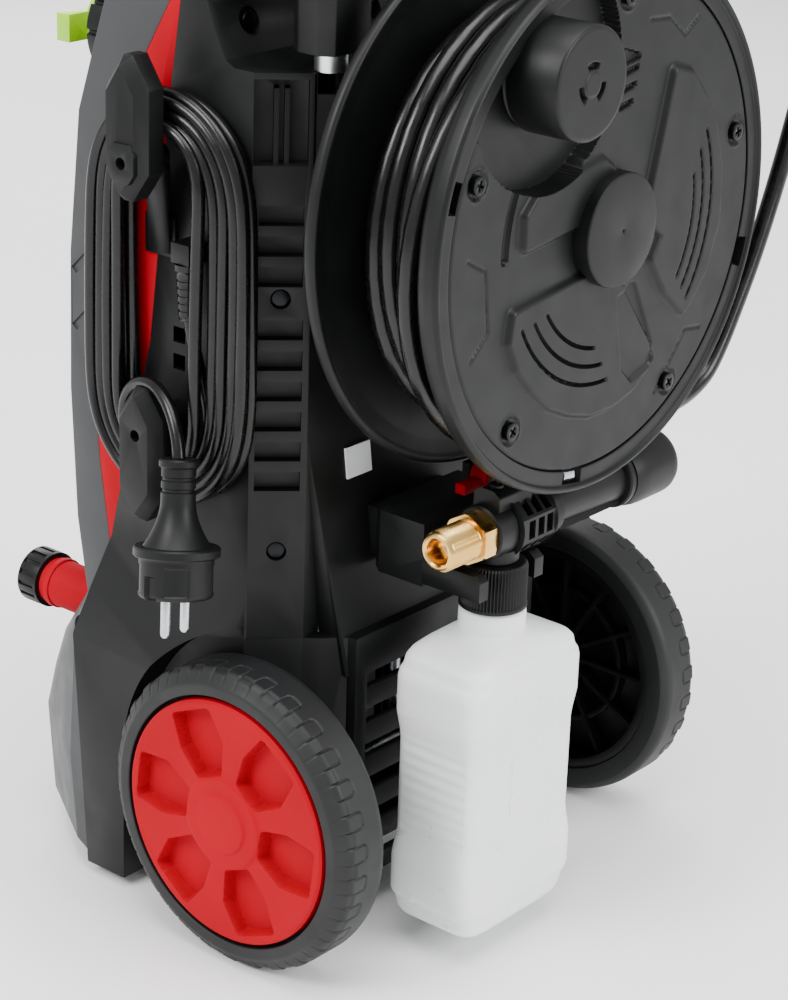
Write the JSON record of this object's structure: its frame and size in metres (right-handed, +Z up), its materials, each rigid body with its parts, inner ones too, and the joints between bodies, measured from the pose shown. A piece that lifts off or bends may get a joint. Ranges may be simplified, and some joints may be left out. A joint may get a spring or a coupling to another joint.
{
  "type": "pressure washer",
  "caption": "Upright electric pressure washer with two wheels, a rear hose reel, a foam lance with bottle, a slide-up handle and a wound mains lead.",
  "frame": {"origin": "on the floor, under the middle of the washer's box without its lead and hose", "axes": "+Z up, -Y is the front of the washer, +Y the side with the hose reel and the bottle, +X the side with the cord hooks"},
  "size_m": [0.4043, 0.344, 0.664],
  "materials": {
    "black_plastic": "satin",
    "grey_plastic": "satin",
    "red_plastic": "gloss",
    "lime_plastic": "gloss",
    "white_plastic": "satin",
    "milky_plastic": "satin",
    "tyre_plastic": "matte",
    "rubber": "matte",
    "steel": "satin",
    "dark_screw": "satin",
    "brass": "satin",
    "aluminium": "satin"
  },
  "bodies": {
    "root": {"rear_housing": "black_plastic", "front_cover": "grey_plastic", "lower_front_cover": "grey_plastic", "accent_strips": "red_plastic", "front_foot": "rubber", "axle": "steel", "axle_caps": "steel", "motor_stator": "steel", "motor_end_shields": "black_plastic", "pump_pistons": "steel", "pump_head": "grey_plastic", "outlet_pipe": "steel", "capacitor": "steel", "switch_box": "black_plastic", "inlet_union": "red_plastic", "inlet_cap": "black_plastic", "handle_sleeves": "black_plastic", "hook_base": "black_plastic", "lower_hook": "black_plastic", "cord_gland": "black_plastic", "cord_lead": "rubber", "cord_hank": "rubber", "cord_tail": "rubber", "plug_body": "black_plastic", "plug_pins": "steel", "reel_spindle": "black_plastic", "hose_free": "rubber", "housing_fittings": "dark_screw", "bottle_holder": "black_plastic", "gun_body": "black_plastic", "gun_barrel": "brass", "gun_holster": "black_plastic"},
    "left_wheel": {"left_tyre": "tyre_plastic", "left_wheel_core": "black_plastic", "left_wheel_disc": "red_plastic"},
    "right_wheel": {"right_tyre": "tyre_plastic", "right_wheel_core": "black_plastic", "right_wheel_disc": "red_plastic"},
    "reel": {"reel_rear_flange": "black_plastic", "reel_front_flange": "black_plastic", "reel_cover": "black_plastic", "reel_screws": "dark_screw", "crank_pin": "steel", "hose_winding": "rubber"},
    "crank": {"crank_knob": "black_plastic"},
    "upper_hook": {"hook_plate": "black_plastic"},
    "handle": {"handle_tubes": "aluminium", "handle_grip": "black_plastic"},
    "button": {"handle_button": "red_plastic"},
    "switch": {"switch_knob": "lime_plastic"},
    "motor": {"motor_rotor": "steel", "motor_fan": "white_plastic", "pump_wobble_plate": "steel"},
    "trigger": {"gun_trigger": "red_plastic"},
    "foam_lance": {"lance_body": "black_plastic", "lance_inlet": "brass", "bottle": "milky_plastic", "bottle_cap": "black_plastic"},
    "nozzle": {"lance_nozzle": "black_plastic"},
    "lock_lever": {"reel_lock": "red_plastic"}
  },
  "joints": [
    {"name": "left_wheel_spin", "type": "hinge", "parent": "root", "child": "left_wheel", "pos_m": [0.13, 0.045, 0.08], "axis": [1, 0, 0], "continuous": true},
    {"name": "right_wheel_spin", "type": "hinge", "parent": "root", "child": "right_wheel", "pos_m": [-0.13, 0.045, 0.08], "axis": [1, 0, 0], "continuous": true},
    {"name": "reel_spin", "type": "hinge", "parent": "root", "child": "reel", "pos_m": [0, 0.105, 0.377], "axis": [0, 1, 0], "continuous": true},
    {"name": "crank_knob_spin", "type": "hinge", "parent": "reel", "child": "crank", "pos_m": [0.05228, 0.155, 0.45751], "axis": [0, 1, 0], "continuous": true},
    {"name": "upper_hook_turn", "type": "hinge", "parent": "root", "child": "upper_hook", "pos_m": [0.14, -0.028, 0.4], "axis": [1, 0, 0], "range_deg": [0, 180]},
    {"name": "handle_slide", "type": "slide", "parent": "root", "child": "handle", "axis": [0, 0, 1], "range_m": [0, 0.1]},
    {"name": "handle_button_press", "type": "slide", "parent": "handle", "child": "button", "axis": [0, 0, -1], "range_m": [0, 0.003], "stiffness_N_per_m": 400, "springref_m": -0.001},
    {"name": "switch_turn", "type": "hinge", "parent": "root", "child": "switch", "pos_m": [0.056, -0.115, 0.44], "axis": [0, -1, 0], "range_deg": [0, 90]},
    {"name": "motor_spin", "type": "hinge", "parent": "root", "child": "motor", "pos_m": [0, -0.035, 0.19], "axis": [0, 0, 1], "continuous": true},
    {"name": "trigger_pull", "type": "hinge", "parent": "root", "child": "trigger", "pos_m": [-0.131, 0.015, 0.584], "axis": [1, 0, 0], "range_deg": [0, 8], "stiffness_Nm_per_rad": 0.6, "springref_deg": -5.73},
    {"name": "foam_lance_pull", "type": "slide", "parent": "root", "child": "foam_lance", "axis": [0, 1, 0], "range_m": [0, 0.09]},
    {"name": "lance_nozzle_turn", "type": "hinge", "parent": "foam_lance", "child": "nozzle", "pos_m": [-0.1, 0.115, 0.224], "axis": [1, 0, 0], "range_deg": [-90, 90]},
    {"name": "reel_lock_turn", "type": "hinge", "parent": "root", "child": "lock_lever", "pos_m": [0.004, 0.086, 0.236], "axis": [0, -1, 0], "range_deg": [0, 35]}
  ]
}
